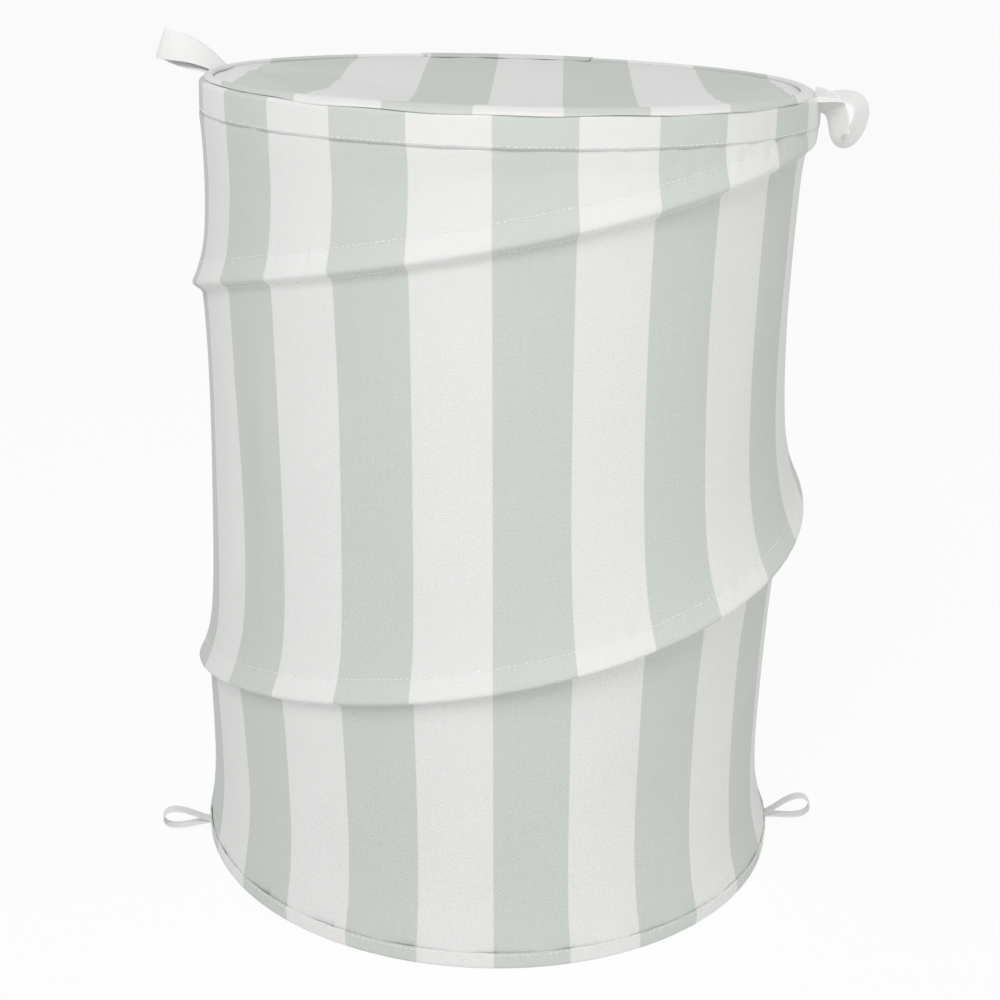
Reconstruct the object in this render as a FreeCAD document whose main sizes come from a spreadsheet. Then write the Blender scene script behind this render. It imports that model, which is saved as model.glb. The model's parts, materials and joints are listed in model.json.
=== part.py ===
"""Pop-up laundry hamper with a hinged lid, in millimetres, +Z up.

The hamper is a tube of cloth held open by one length of spring wire. The wire runs round the
top hem, winds down the wall as a right-handed spiral of about two turns, and runs round the
bottom hem. It is modelled as three nodes, because the top ring moves with the rim, the bottom
ring stays on the floor, and the spiral between them is what folds. Angles are turned about +Z
from the front (-Y) towards the right (+X). The origin is the middle of the face it stands on.
"""
import FreeCAD, Part
import math
import os

import Sketcher
from FreeCAD import Placement, Rotation, Vector

SIZES = {
    # the whole hamper
    "bottom_radius": 200.0,
    "top_radius": 191.0,
    "rim_height": 515.0,        # floor to the middle of the top ring's wire
    # cloth and the gaps between pieces
    "wall_cloth": 0.6,
    "hem_cloth": 0.7,
    "casing_cloth": 0.5,
    "base_cloth": 0.8,
    "lid_cloth": 0.6,
    "sewn_gap": 0.1,            # between pieces sewn to one another
    "soft_gap": 0.3,            # between pieces that move apart
    # spring wire and the sleeves that join its ends
    "wire_dia": 3.0,
    "sleeve_wall": 0.5,
    "sleeve_length": 26.0,
    "crimp_play": 0.05,
    "wire_play": 0.15,
    # hems and seams
    "top_hem_height": 16.0,
    "bottom_hem_height": 12.0,
    "binding_width": 2.4,
    "binding_height": 1.5,
    "seam_tuck": 0.5,
    "wall_seam_width": 12.0,
    "wall_seam_cloth": 0.6,
    "wall_seam_angle": 158.0,
    # spiral
    "coil_turns": 2.02,
    "coil_start_angle": 98.0,
    "casing_width": 15.0,
    # lid
    "lid_wire_dia": 2.0,
    "lid_sleeve_wall": 0.4,
    "lid_sleeve_length": 20.0,
    "lid_binding_cloth": 0.6,
    "lid_tuck": 3.6,            # how far the lid's hoop lies inside the top ring
    "lid_sag": 14.0,
    "hinge_width": 130.0,
    "hinge_cloth": 0.6,
    "hinge_drop": 14.0,         # how far the rim's leaf runs down the hem
    "hinge_lap": 9.0,           # how far the lid's leaf laps over the lid
    "hinge_outset": 2.0,        # fold line outside the rim
    # handle loops at the rim
    "handle_tape_width": 20.0,
    "handle_tape": 1.2,
    "handle_reach": 33.0,
    "handle_loop_radius": 10.0,
    "handle_drop": 4.0,         # root below the ring's middle
    "left_handle_angle": -105.0,
    "right_handle_angle": 75.0,
    "left_handle_tilt": 30.0,
    "right_handle_tilt": -15.0,
    # loops at the bottom
    "base_tape_width": 9.0,
    "base_tape": 0.8,
    "base_reach": 28.0,
    "base_loop_radius": 7.0,
    "base_loop_height": 8.0,
    "left_base_angle": -78.0,
    "right_base_angle": 86.0,
    "base_loop_tilt": 10.0,
}

doc = FreeCAD.newDocument("hamper")
sheet = doc.addObject("Spreadsheet::Sheet", "Sizes")
for row, (alias, value) in enumerate(SIZES.items(), start=1):
    sheet.set(f"A{row}", alias)
    sheet.set(f"B{row}", repr(value))
    sheet.setAlias(f"B{row}", alias)
doc.recompute()

# Lengths that several pieces share, as expressions on the sheet.
CHANNEL = "(Sizes.wire_dia / 2 + Sizes.sleeve_wall + Sizes.wire_play)"
HEM_TUBE = f"({CHANNEL} + Sizes.hem_cloth)"
TOP_RING = f"(Sizes.top_radius - {HEM_TUBE})"
BOTTOM_RING = f"(Sizes.bottom_radius - {HEM_TUBE})"
SLOPE = f"((Sizes.top_radius - Sizes.bottom_radius) / (Sizes.rim_height - {HEM_TUBE}))"
LID_CHANNEL = "(Sizes.lid_wire_dia / 2 + Sizes.lid_sleeve_wall + Sizes.wire_play)"
LID_TUBE = f"({LID_CHANNEL} + Sizes.lid_binding_cloth)"
LID_HOOP = f"({TOP_RING} - Sizes.lid_tuck)"
LID_LIFT = f"sqrt(({HEM_TUBE} + {LID_TUBE} + Sizes.soft_gap)^2 - Sizes.lid_tuck^2)"
LID_HEIGHT = f"(Sizes.rim_height + {LID_LIFT})"
FOLD_LINE = "(Sizes.top_radius + Sizes.hinge_outset)"


def skin(height):
    """Radius of the hamper's outer face at a height, as an expression."""
    return f"(Sizes.bottom_radius + {SLOPE} * ({height} - {HEM_TUBE}))"


def bind(item, **expressions):
    """Ties properties of an object to expressions; a double underscore stands for a dot."""
    for name, expression in expressions.items():
        item.setExpression(name.replace("__", "."), expression)
    return item


def cell(expression):
    """The present value of an expression, for the few places that need a number."""
    probe = doc.addObject("App::FeaturePython", "Probe")
    probe.addProperty("App::PropertyFloat", "Value")
    probe.setExpression("Value", expression)
    doc.recompute()
    value = probe.Value
    doc.removeObject(probe.Name)
    return value


def name_as(item, label):
    item.Label = label
    return item


def cut(label, base, tool):
    item = doc.addObject("Part::Cut", label)
    item.Base = base
    item.Tool = tool
    return name_as(item, label)


def torus(label, major, minor, height):
    """A full ring about the Z axis."""
    item = doc.addObject("Part::Torus", label)
    return bind(item, Radius1=major, Radius2=minor, Placement__Base__z=height)


def ring_arc(label, major, minor, height, length, angle):
    """A stretch of a ring, of a given length, centred on an angle."""
    item = torus(label, major, minor, height)
    sweep = f"{length} / {major} * 180 / pi"
    item.Placement.Rotation = Rotation(Vector(0, 0, 1), 0)
    bind(item, Angle3=sweep, Placement__Rotation__Angle=f"{angle} - 90 - ({sweep}) / 2")
    return item


def frustum(label, low, high, low_radius, high_radius):
    """A cone about the Z axis between two heights."""
    item = doc.addObject("Part::Cone", label)
    return bind(item, Radius1=low_radius, Radius2=high_radius,
                Height=f"{high} - ({low})", Placement__Base__z=low)


def sleeve(label, low, high, inset, cloth):
    """A conical layer of cloth that follows the hamper's skin, inset from it."""
    outer = frustum(label + "_outside", low, high,
                    f"{skin(low)} - ({inset})", f"{skin(high)} - ({inset})")
    inner = frustum(label + "_inside", low, high,
                    f"{skin(low)} - ({inset}) - {cloth}", f"{skin(high)} - ({inset}) - {cloth}")
    return cut(label, outer, inner)


def flat_ring(label, outer_radius, inner_radius, low, thickness):
    """A flat ring about the Z axis, standing on a height."""
    pieces = []
    for name, radius in (("outside", outer_radius), ("inside", inner_radius)):
        piece = doc.addObject("Part::Cylinder", f"{label}_{name}")
        bind(piece, Radius=radius, Height=thickness, Placement__Base__z=low)
        pieces.append(piece)
    return cut(label, *pieces)


def turned_to(item, angle, sweep):
    """Turns a swept primitive so that its sweep is centred on an angle."""
    item.Placement.Rotation = Rotation(Vector(0, 0, 1), 0)
    bind(item, Angle=sweep, Placement__Rotation__Angle=f"{angle} - 90 - ({sweep}) / 2")


def plane_of(body, role):
    return next(item for item in body.Origin.OriginFeatures if item.Role == role)


def new_body(label):
    return name_as(doc.addObject("PartDesign::Body", label), label)


def new_sketch(body, name):
    """A sketch on the body's XZ plane, so its x is a radius and its y a height."""
    sketch = body.newObject("Sketcher::SketchObject", name)
    sketch.AttachmentSupport = [(plane_of(body, "XZ_Plane"), "")]
    sketch.MapMode = "FlatFace"
    return sketch


def dimension(sketch, name, expression, *constraint):
    """A named dimension tied to an expression."""
    value = cell(expression)
    index = sketch.addConstraint(Sketcher.Constraint(*constraint, value))
    sketch.renameConstraint(index, name)
    sketch.setExpression(f"Constraints.{name}", expression)


def circle_at(x, y, radius):
    return Part.Circle(Vector(x, y, 0), Vector(0, 0, 1), radius)


# ---------------------------------------------------------------- rings, hems and base

def ring_wire(label, major, height):
    return name_as(torus(label, major, "Sizes.wire_dia / 2", height), label)


def ferrule(label, major, height, wire_dia, wall, length, angle):
    """A crimped sleeve over the joint of a ring's two ends."""
    outside = ring_arc(label + "_outside", major, f"{wire_dia} / 2 + {wall}", height, length, angle)
    bore = torus(label + "_bore", major, f"{wire_dia} / 2 + Sizes.crimp_play", height)
    return cut(label, outside, bore)


def hem(label, major, height, far):
    """A tube of cloth round a ring, and the stitched-down band that runs from it to a height.

    The outline is most of a circle, whose end at the widest point runs on as the band's face.
    """
    body = new_body(label)
    sketch = new_sketch(body, label + "_outline")
    x, y, end = cell(major), cell(height), cell(far)
    tube, cloth = cell(HEM_TUBE), cell("Sizes.hem_cloth")
    up = 1 if end > y else -1
    joint = math.acos((tube - cloth) / tube)
    sweep = (joint, 2 * math.pi) if up > 0 else (0, 2 * math.pi - joint)
    outside, inside = (cell(f"{skin(far)} - {layer}") for layer in ("0", "Sizes.hem_cloth"))
    sketch.addGeometry(Part.ArcOfCircle(circle_at(x, y, tube), *sweep))
    corners = [(x + tube, y), (outside, end), (inside, end),
               (x + tube - cloth, y + up * tube * math.sin(joint))]
    for start, stop in zip(corners, corners[1:]):
        sketch.addGeometry(Part.LineSegment(Vector(*start, 0), Vector(*stop, 0)))
    sketch.addGeometry(circle_at(x, y, cell(CHANNEL)))
    widest, junction = (2, 1) if up > 0 else (1, 2)
    sketch.addConstraint(Sketcher.Constraint("Coincident", 0, widest, 1, 1))
    sketch.addConstraint(Sketcher.Constraint("Coincident", 1, 2, 2, 1))
    sketch.addConstraint(Sketcher.Constraint("Coincident", 2, 2, 3, 1))
    sketch.addConstraint(Sketcher.Constraint("Coincident", 3, 2, 0, junction))
    sketch.addConstraint(Sketcher.Constraint("Coincident", 4, 3, 0, 3))
    sketch.addConstraint(Sketcher.Constraint("Horizontal", 2))
    sketch.addConstraint(Sketcher.Constraint("Parallel", 1, 3))
    sketch.addConstraint(Sketcher.Constraint("Horizontal", 0, 3, 0, widest))
    dimension(sketch, "ring_radius", major, "DistanceX", -1, 1, 0, 3)
    dimension(sketch, "ring_height", height, "DistanceY", -1, 1, 0, 3)
    dimension(sketch, "tube", HEM_TUBE, "Radius", 0)
    dimension(sketch, "channel", CHANNEL, "Radius", 4)
    dimension(sketch, "band_end", far, "DistanceY", -1, 1, 1, 2)
    dimension(sketch, "band_outside", skin(far), "DistanceX", -1, 1, 1, 2)
    dimension(sketch, "band_cloth", "Sizes.hem_cloth", "DistanceX", 2, 2, 2, 1)
    doc.recompute()
    turned = body.newObject("PartDesign::Revolution", label + "_turned")
    turned.Profile = sketch
    turned.ReferenceAxis = (sketch, ["V_Axis"])
    turned.Angle = 360
    return body


TOP_COIL = "(Sizes.coil_start_angle + 360 * Sizes.coil_turns)"

nodes = [
    ring_wire("bottom_ring_wire", BOTTOM_RING, HEM_TUBE),
    ring_wire("top_ring_wire", TOP_RING, "Sizes.rim_height"),
    ferrule("bottom_wire_ferrule", BOTTOM_RING, HEM_TUBE, "Sizes.wire_dia",
            "Sizes.sleeve_wall", "Sizes.sleeve_length", "Sizes.coil_start_angle"),
    ferrule("top_wire_ferrule", TOP_RING, "Sizes.rim_height", "Sizes.wire_dia",
            "Sizes.sleeve_wall", "Sizes.sleeve_length", TOP_COIL),
    hem("bottom_hem", BOTTOM_RING, HEM_TUBE, "Sizes.bottom_hem_height"),
    hem("top_hem", TOP_RING, "Sizes.rim_height",
        "(Sizes.rim_height - Sizes.top_hem_height)"),
]

base = doc.addObject("Part::Cylinder", "base_panel")
bind(base, Radius=f"{BOTTOM_RING} - {HEM_TUBE} + Sizes.seam_tuck", Height="Sizes.base_cloth")
nodes.append(name_as(base, "base_panel"))

BINDING_EDGE = f"({BOTTOM_RING} - {HEM_TUBE} - Sizes.sewn_gap)"
nodes.append(flat_ring("base_seam_binding", BINDING_EDGE,
                       f"({BINDING_EDGE} - Sizes.binding_width)",
                       "(Sizes.base_cloth + Sizes.sewn_gap)", "Sizes.binding_height"))

# ---------------------------------------------------------------- wall and its seam

WALL_INSET = "(Sizes.hem_cloth + Sizes.soft_gap)"
WALL_LOW = f"(2 * {HEM_TUBE} + Sizes.soft_gap)"
WALL_HIGH = f"(Sizes.rim_height - {HEM_TUBE} - Sizes.soft_gap)"
nodes.append(sleeve("wall_fabric", WALL_LOW, WALL_HIGH, WALL_INSET, "Sizes.wall_cloth"))


def wall_seam():
    """The lapped seam down the back, where the sheet's two edges are joined."""
    low = "(Sizes.bottom_hem_height + Sizes.sewn_gap)"
    high = "(Sizes.rim_height - Sizes.top_hem_height - Sizes.soft_gap)"
    inset = f"({WALL_INSET} - Sizes.sewn_gap - Sizes.wall_seam_cloth)"
    seam = sleeve("wall_side_seam", low, high, inset, "Sizes.wall_seam_cloth")
    sweep = "(Sizes.wall_seam_width / Sizes.bottom_radius * 180 / pi)"
    turned_to(seam.Base, "Sizes.wall_seam_angle", sweep)
    return seam


nodes.append(wall_seam())

# ---------------------------------------------------------------- spiral

COIL_LOW = f"(2 * {HEM_TUBE} + Sizes.wire_dia / 2 + Sizes.soft_gap)"
COIL_HIGH = f"(Sizes.rim_height - {HEM_TUBE} - Sizes.wire_dia / 2 - Sizes.soft_gap)"
COIL_PITCH = f"(({COIL_HIGH} - {COIL_LOW}) / Sizes.coil_turns)"
POCKET = "(Sizes.wire_dia / 2 + Sizes.wire_play)"
SHEATH = f"({POCKET} + Sizes.casing_cloth)"
HALF_TAPE = "(Sizes.casing_width / 2)"
TAPE_LEAN = f"({SLOPE} * {HALF_TAPE})"
COIL_INSET = f"({WALL_INSET} + Sizes.wall_cloth + Sizes.soft_gap + {SHEATH})"


def coil(label, low, high, draw):
    """Sweeps the section that draw() puts in a sketch up a conical helix inside the wall."""
    body = new_body(label)
    sketch = new_sketch(body, label + "_section")
    draw(sketch, f"{skin(low)} - {COIL_INSET}", low)
    doc.recompute()
    helix = body.newObject("PartDesign::AdditiveHelix", label + "_helix")
    helix.Profile = sketch
    helix.ReferenceAxis = (sketch, ["V_Axis"])
    helix.Mode = "height-turns-angle"
    bind(helix, Height=f"{high} - ({low})", Turns=f"({high} - ({low})) / {COIL_PITCH}",
         Angle=f"atan({SLOPE})")
    angle = cell(f"Sizes.coil_start_angle - 90 + 360 * ({low} - {COIL_LOW}) / {COIL_PITCH}")
    body.Placement = Placement(Vector(), Rotation(Vector(0, 0, 1), angle))
    return body


def wire_section(sketch, radius, height):
    sketch.addGeometry(circle_at(cell(radius), cell(height), cell("Sizes.wire_dia / 2")))
    dimension(sketch, "wire_radius", "Sizes.wire_dia / 2", "Radius", 0)
    dimension(sketch, "coil_radius", radius, "DistanceX", -1, 1, 0, 3)
    dimension(sketch, "start_height", height, "DistanceY", -1, 1, 0, 3)


def casing_section(sketch, radius, height):
    """A round sheath over the wire, on a flat tape that is sewn to the wall and leans with it."""
    r, h = cell(radius), cell(height)
    pocket, sheath = cell(POCKET), cell(SHEATH)
    half, lean = cell(HALF_TAPE), cell(TAPE_LEAN)
    rise = math.sqrt(sheath ** 2 - pocket ** 2)
    corners = [(r + pocket, h + rise), (r + pocket + lean, h + half),
               (r + sheath + lean, h + half), (r + sheath - lean, h - half),
               (r + pocket - lean, h - half), (r + pocket, h - rise)]
    for start, end in zip(corners, corners[1:]):
        sketch.addGeometry(Part.LineSegment(Vector(*start, 0), Vector(*end, 0)))
    opening = math.atan2(rise, pocket)
    sketch.addGeometry(Part.ArcOfCircle(circle_at(r, h, sheath), opening, 2 * math.pi - opening))
    sketch.addGeometry(circle_at(r, h, pocket))
    for line in range(4):
        sketch.addConstraint(Sketcher.Constraint("Coincident", line, 2, line + 1, 1))
    sketch.addConstraint(Sketcher.Constraint("Coincident", 5, 1, 0, 1))
    sketch.addConstraint(Sketcher.Constraint("Coincident", 5, 2, 4, 2))
    sketch.addConstraint(Sketcher.Constraint("Coincident", 6, 3, 5, 3))
    sketch.addConstraint(Sketcher.Constraint("Vertical", 0, 1, 4, 2))
    for line in (1, 3):
        sketch.addConstraint(Sketcher.Constraint("Horizontal", line))
    dimension(sketch, "coil_radius", radius, "DistanceX", -1, 1, 5, 3)
    dimension(sketch, "start_height", height, "DistanceY", -1, 1, 5, 3)
    dimension(sketch, "sheath_radius", SHEATH, "Radius", 5)
    dimension(sketch, "pocket_radius", POCKET, "Radius", 6)
    dimension(sketch, "pocket_mouth", POCKET, "DistanceX", 5, 3, 0, 1)
    for name, sign, way, back, front in (("top", "+", (5, 3, 2, 1), (2, 1), (1, 1)),
                                         ("bottom", "-", (2, 2, 5, 3), (2, 2), (3, 2))):
        dimension(sketch, f"tape_{name}", HALF_TAPE, "DistanceY", *way)
        dimension(sketch, f"back_{name}", f"{SHEATH} {sign} {TAPE_LEAN}", "DistanceX",
                  5, 3, *back)
        dimension(sketch, f"front_{name}", f"{POCKET} {sign} {TAPE_LEAN}", "DistanceX",
                  5, 3, *front)


CASING_LOW = f"(2 * {HEM_TUBE} + Sizes.soft_gap + Sizes.casing_width / 2)"
CASING_HIGH = f"(Sizes.rim_height - {HEM_TUBE} - Sizes.soft_gap - Sizes.casing_width / 2)"
nodes.append(coil("spiral_wire", COIL_LOW, COIL_HIGH, wire_section))
nodes.append(coil("spiral_casing", CASING_LOW, CASING_HIGH, casing_section))

# ---------------------------------------------------------------- lid

nodes.append(name_as(torus("lid_hoop_wire", LID_HOOP, "Sizes.lid_wire_dia / 2", LID_HEIGHT),
                     "lid_hoop_wire"))
nodes.append(ferrule("lid_hoop_ferrule", LID_HOOP, LID_HEIGHT, "Sizes.lid_wire_dia",
                     "Sizes.lid_sleeve_wall", "Sizes.lid_sleeve_length",
                     "Sizes.wall_seam_angle"))
nodes.append(cut("lid_edge_binding", torus("binding_roll", LID_HOOP, LID_TUBE, LID_HEIGHT),
                 torus("binding_channel", LID_HOOP, LID_CHANNEL, LID_HEIGHT)))


def lid_panel():
    """A round of cloth that sags into a shallow dish inside its binding."""
    edge = f"({LID_HOOP} - {LID_TUBE} - Sizes.sewn_gap)"
    bend = f"(({edge}^2 + Sizes.lid_sag^2) / (2 * Sizes.lid_sag))"
    body = new_body("lid_panel")
    body.Placement = Placement(Vector(0, 0, cell(LID_HEIGHT)), Rotation())
    body.setExpression("Placement.Base.z", LID_HEIGHT)
    sketch = new_sketch(body, "lid_section")
    rim, radius, sag = cell(edge), cell(bend), cell("Sizes.lid_sag")
    under = radius + cell("Sizes.lid_cloth")
    middle = radius - sag
    reach = math.atan2(rim, middle)
    start = -math.pi / 2
    sketch.addGeometry(Part.ArcOfCircle(circle_at(0, middle, radius), start, start + reach))
    sketch.addGeometry(Part.ArcOfCircle(circle_at(0, middle, under), start, start + reach))
    sketch.addGeometry(Part.LineSegment(Vector(0, middle - radius, 0),
                                        Vector(0, middle - under, 0)))
    outward = Vector(math.sin(reach), -math.cos(reach), 0)
    centre = Vector(0, middle, 0)
    sketch.addGeometry(Part.LineSegment(centre + outward * radius, centre + outward * under))
    for arc, end in ((0, 1), (1, 2)):
        sketch.addConstraint(Sketcher.Constraint("Coincident", arc, 1, 2, end))
        sketch.addConstraint(Sketcher.Constraint("Coincident", arc, 2, 3, end))
    sketch.addConstraint(Sketcher.Constraint("Coincident", 0, 3, 1, 3))
    sketch.addConstraint(Sketcher.Constraint("PointOnObject", 0, 3, -2))
    sketch.addConstraint(Sketcher.Constraint("PointOnObject", 0, 1, -2))
    sketch.addConstraint(Sketcher.Constraint("PointOnObject", 1, 1, -2))
    sketch.addConstraint(Sketcher.Constraint("PointOnObject", 0, 2, -1))
    sketch.addConstraint(Sketcher.Constraint("PointOnObject", 0, 3, 3))
    dimension(sketch, "edge", edge, "DistanceX", -1, 1, 0, 2)
    dimension(sketch, "sag", "Sizes.lid_sag", "DistanceY", 0, 1, -1, 1)
    dimension(sketch, "thickness", "Sizes.lid_cloth", "DistanceY", 1, 1, 0, 1)
    doc.recompute()
    dish = body.newObject("PartDesign::Revolution", "lid_dish")
    dish.Profile = sketch
    dish.ReferenceAxis = (sketch, ["V_Axis"])
    dish.Angle = 360
    return body


nodes.append(lid_panel())


HINGE_SWEEP = "(Sizes.hinge_width / Sizes.top_radius * 180 / pi)"


def rim_leaf():
    """The half of the cloth hinge that is sewn to the outside of the rim, at the back."""
    strip = sleeve("rim_hinge_leaf", "(Sizes.rim_height - Sizes.hinge_drop)", LID_HEIGHT,
                   "-(Sizes.soft_gap + Sizes.hinge_cloth)", "Sizes.hinge_cloth")
    turned_to(strip.Base, "180", HINGE_SWEEP)
    return strip


def lid_leaf():
    """The half that laps over the lid's binding, as a flat strip of a ring."""
    low = f"({LID_HEIGHT} + {LID_TUBE} + Sizes.sewn_gap)"
    strip = flat_ring("lid_hinge_leaf", FOLD_LINE, f"({FOLD_LINE} - Sizes.hinge_lap)",
                      low, "Sizes.hinge_cloth")
    turned_to(strip.Base, "180", HINGE_SWEEP)
    return strip


nodes.append(rim_leaf())
nodes.append(lid_leaf())

# ---------------------------------------------------------------- tape loops


def teardrop(sketch, first, prefix, root_at, root_radius, tip_at, tip_radius):
    """Two arcs on the sketch's x axis and the two lines that touch both."""
    x0, r0, x1, r1 = (cell(e) for e in (root_at, root_radius, tip_at, tip_radius))
    lean = math.asin((r1 - r0) / (x1 - x0))
    quarter = math.pi / 2
    sketch.addGeometry(Part.ArcOfCircle(circle_at(x0, 0, r0), quarter + lean,
                                        3 * quarter - lean))
    sketch.addGeometry(Part.ArcOfCircle(circle_at(x1, 0, r1), -quarter - lean, quarter + lean))
    for side in (1, -1):
        reach = Vector(-math.sin(lean), side * math.cos(lean), 0)
        sketch.addGeometry(Part.LineSegment(Vector(x0, 0, 0) + reach * r0,
                                            Vector(x1, 0, 0) + reach * r1))
    root, tip, upper, lower = range(first, first + 4)
    for arc, end, line, line_end in ((root, 1, upper, 1), (root, 2, lower, 1),
                                     (tip, 2, upper, 2), (tip, 1, lower, 2)):
        sketch.addConstraint(Sketcher.Constraint("Tangent", arc, end, line, line_end))
    sketch.addConstraint(Sketcher.Constraint("PointOnObject", root, 3, -1))
    sketch.addConstraint(Sketcher.Constraint("PointOnObject", tip, 3, -1))
    dimension(sketch, prefix + "_root_radius", root_radius, "Radius", root)
    dimension(sketch, prefix + "_tip_radius", tip_radius, "Radius", tip)
    if x0 == 0:
        sketch.addConstraint(Sketcher.Constraint("PointOnObject", root, 3, -2))
    else:
        dimension(sketch, prefix + "_root", root_at, "DistanceX", -1, 1, root, 3)
    dimension(sketch, prefix + "_tip", tip_at, "DistanceX", -1, 1, tip, 3)


def tape_loop(label, tape, width, reach, loop_radius, turn, tilt, seat, height):
    """A loop of flat tape whose two ends lie together at its root, where it swings."""
    body = new_body(label)
    sketch = new_sketch(body, label + "_outline")
    root_radius = f"({tape} + Sizes.sewn_gap)"
    teardrop(sketch, 0, "outer", "0", root_radius, reach, loop_radius)
    teardrop(sketch, 4, "inner", f"({root_radius} + 3 * {tape})", f"({tape} / 2)",
             reach, f"({loop_radius} - {tape})")
    doc.recompute()
    band = body.newObject("PartDesign::Pad", label + "_band")
    band.Profile = sketch
    band.SideType = "Symmetric"
    bind(band, Length=width)
    pivot = cell(f"{seat} + Sizes.soft_gap + {root_radius}")
    around = math.radians(cell(turn) - 90)
    place = Vector(pivot * math.cos(around), pivot * math.sin(around), cell(height))
    spin = Rotation(Vector(0, 0, 1), math.degrees(around))
    body.Placement = Placement(place, spin * Rotation(Vector(0, 1, 0), -cell(tilt)))
    return body


HANDLE_HEIGHT = "(Sizes.rim_height - Sizes.handle_drop)"
for side in ("left", "right"):
    nodes.append(tape_loop(f"handle_loop_{side}", "Sizes.handle_tape", "Sizes.handle_tape_width",
                           "Sizes.handle_reach", "Sizes.handle_loop_radius",
                           f"Sizes.{side}_handle_angle", f"Sizes.{side}_handle_tilt",
                           skin(HANDLE_HEIGHT), HANDLE_HEIGHT))
for side in ("left", "right"):
    nodes.append(tape_loop(f"base_loop_{side}", "Sizes.base_tape", "Sizes.base_tape_width",
                           "Sizes.base_reach", "Sizes.base_loop_radius",
                           f"Sizes.{side}_base_angle", "Sizes.base_loop_tilt",
                           skin("Sizes.base_loop_height"), "Sizes.base_loop_height"))

# ---------------------------------------------------------------- checks and export

doc.recompute()
for item in doc.Objects:
    if {"Invalid", "Error"} & set(item.State):
        raise RuntimeError(f"{item.Label} failed: {item.State}")
for node in nodes:
    if node.Shape.isNull() or not node.Shape.isValid() or not node.Shape.Solids:
        raise RuntimeError(f"{node.Label} has no valid solid")

os.makedirs("parts", exist_ok=True)
for node in nodes:
    node.Shape.exportStep(f"parts/{node.Label}.step")
    box = node.Shape.BoundBox
    print(f"{node.Label}: {len(node.Shape.Solids)} solid, {node.Shape.Volume / 1000:.2f} cm3, "
          f"x {box.XMin:.1f}..{box.XMax:.1f} y {box.YMin:.1f}..{box.YMax:.1f} "
          f"z {box.ZMin:.1f}..{box.ZMax:.1f}")
print(f"fold line of the lid: y {cell(FOLD_LINE):.3f}, z {cell(LID_HEIGHT):.3f}")
for side in ("left", "right"):
    for kind, seat, tape in (("handle", HANDLE_HEIGHT, "Sizes.handle_tape"),
                             ("base", "Sizes.base_loop_height", "Sizes.base_tape")):
        pivot = cell(f"{skin(seat)} + Sizes.soft_gap + {tape} + Sizes.sewn_gap")
        print(f"{kind}_loop_{side} swings at radius {pivot:.3f}, z {cell(seat):.3f}")
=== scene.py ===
import json
import math

import bpy
import numpy as np
from mathutils import Matrix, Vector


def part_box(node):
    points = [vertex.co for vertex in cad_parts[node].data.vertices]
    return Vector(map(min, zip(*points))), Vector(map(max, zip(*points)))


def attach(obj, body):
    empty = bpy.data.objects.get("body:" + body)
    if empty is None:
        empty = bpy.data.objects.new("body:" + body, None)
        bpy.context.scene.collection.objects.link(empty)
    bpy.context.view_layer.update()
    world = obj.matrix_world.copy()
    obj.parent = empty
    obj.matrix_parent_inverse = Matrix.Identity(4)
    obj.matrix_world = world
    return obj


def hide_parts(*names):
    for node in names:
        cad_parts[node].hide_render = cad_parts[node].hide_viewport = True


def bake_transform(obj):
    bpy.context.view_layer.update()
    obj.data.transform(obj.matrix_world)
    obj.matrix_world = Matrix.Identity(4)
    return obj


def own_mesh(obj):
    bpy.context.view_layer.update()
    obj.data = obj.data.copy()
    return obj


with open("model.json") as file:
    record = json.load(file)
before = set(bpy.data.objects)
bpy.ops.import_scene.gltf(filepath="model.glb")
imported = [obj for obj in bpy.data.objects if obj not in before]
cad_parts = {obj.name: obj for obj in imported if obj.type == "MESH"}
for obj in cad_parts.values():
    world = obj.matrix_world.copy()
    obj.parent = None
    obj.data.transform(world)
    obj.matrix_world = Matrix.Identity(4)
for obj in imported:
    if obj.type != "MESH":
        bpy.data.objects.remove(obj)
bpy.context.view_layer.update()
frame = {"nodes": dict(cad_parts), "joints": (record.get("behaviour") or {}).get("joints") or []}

TURN = 2 * math.pi

# ---------------------------------------------------------------------------
# Driving sizes, in metres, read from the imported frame
# ---------------------------------------------------------------------------

FLOOR_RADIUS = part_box("bottom_hem")[1].x          # outside of the bottom hem
RIM_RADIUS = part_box("top_hem")[1].x               # outside of the top hem
RIM_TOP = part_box("top_hem")[1].z
RIM_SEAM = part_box("top_hem")[0].z                 # stitch line under the rim
FLOOR_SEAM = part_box("bottom_hem")[1].z            # stitch line above the floor
WIRE = (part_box("top_ring_wire")[1].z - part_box("top_ring_wire")[0].z) / 2
RIM_WIRE_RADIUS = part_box("top_ring_wire")[1].x - WIRE
RIM_WIRE_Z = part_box("top_ring_wire")[1].z - WIRE
FLOOR_WIRE_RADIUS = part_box("bottom_ring_wire")[1].x - WIRE
FLOOR_WIRE_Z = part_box("bottom_ring_wire")[1].z - WIRE
LID_WIRE = (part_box("lid_hoop_wire")[1].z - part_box("lid_hoop_wire")[0].z) / 2
LID_WIRE_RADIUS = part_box("lid_hoop_wire")[1].x - LID_WIRE
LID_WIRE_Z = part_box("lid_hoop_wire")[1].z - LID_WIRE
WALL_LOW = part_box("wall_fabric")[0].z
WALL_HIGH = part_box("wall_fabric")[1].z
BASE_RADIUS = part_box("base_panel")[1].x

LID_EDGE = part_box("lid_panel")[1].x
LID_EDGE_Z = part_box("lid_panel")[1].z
HINGE_AXIS = next(j for j in frame["joints"] if j["name"] == "lid_hinge")["pos_m"]
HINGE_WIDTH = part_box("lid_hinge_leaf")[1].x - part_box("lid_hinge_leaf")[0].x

# ---------------------------------------------------------------------------
# Sizes chosen here, in metres, radians and turns
# ---------------------------------------------------------------------------

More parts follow.
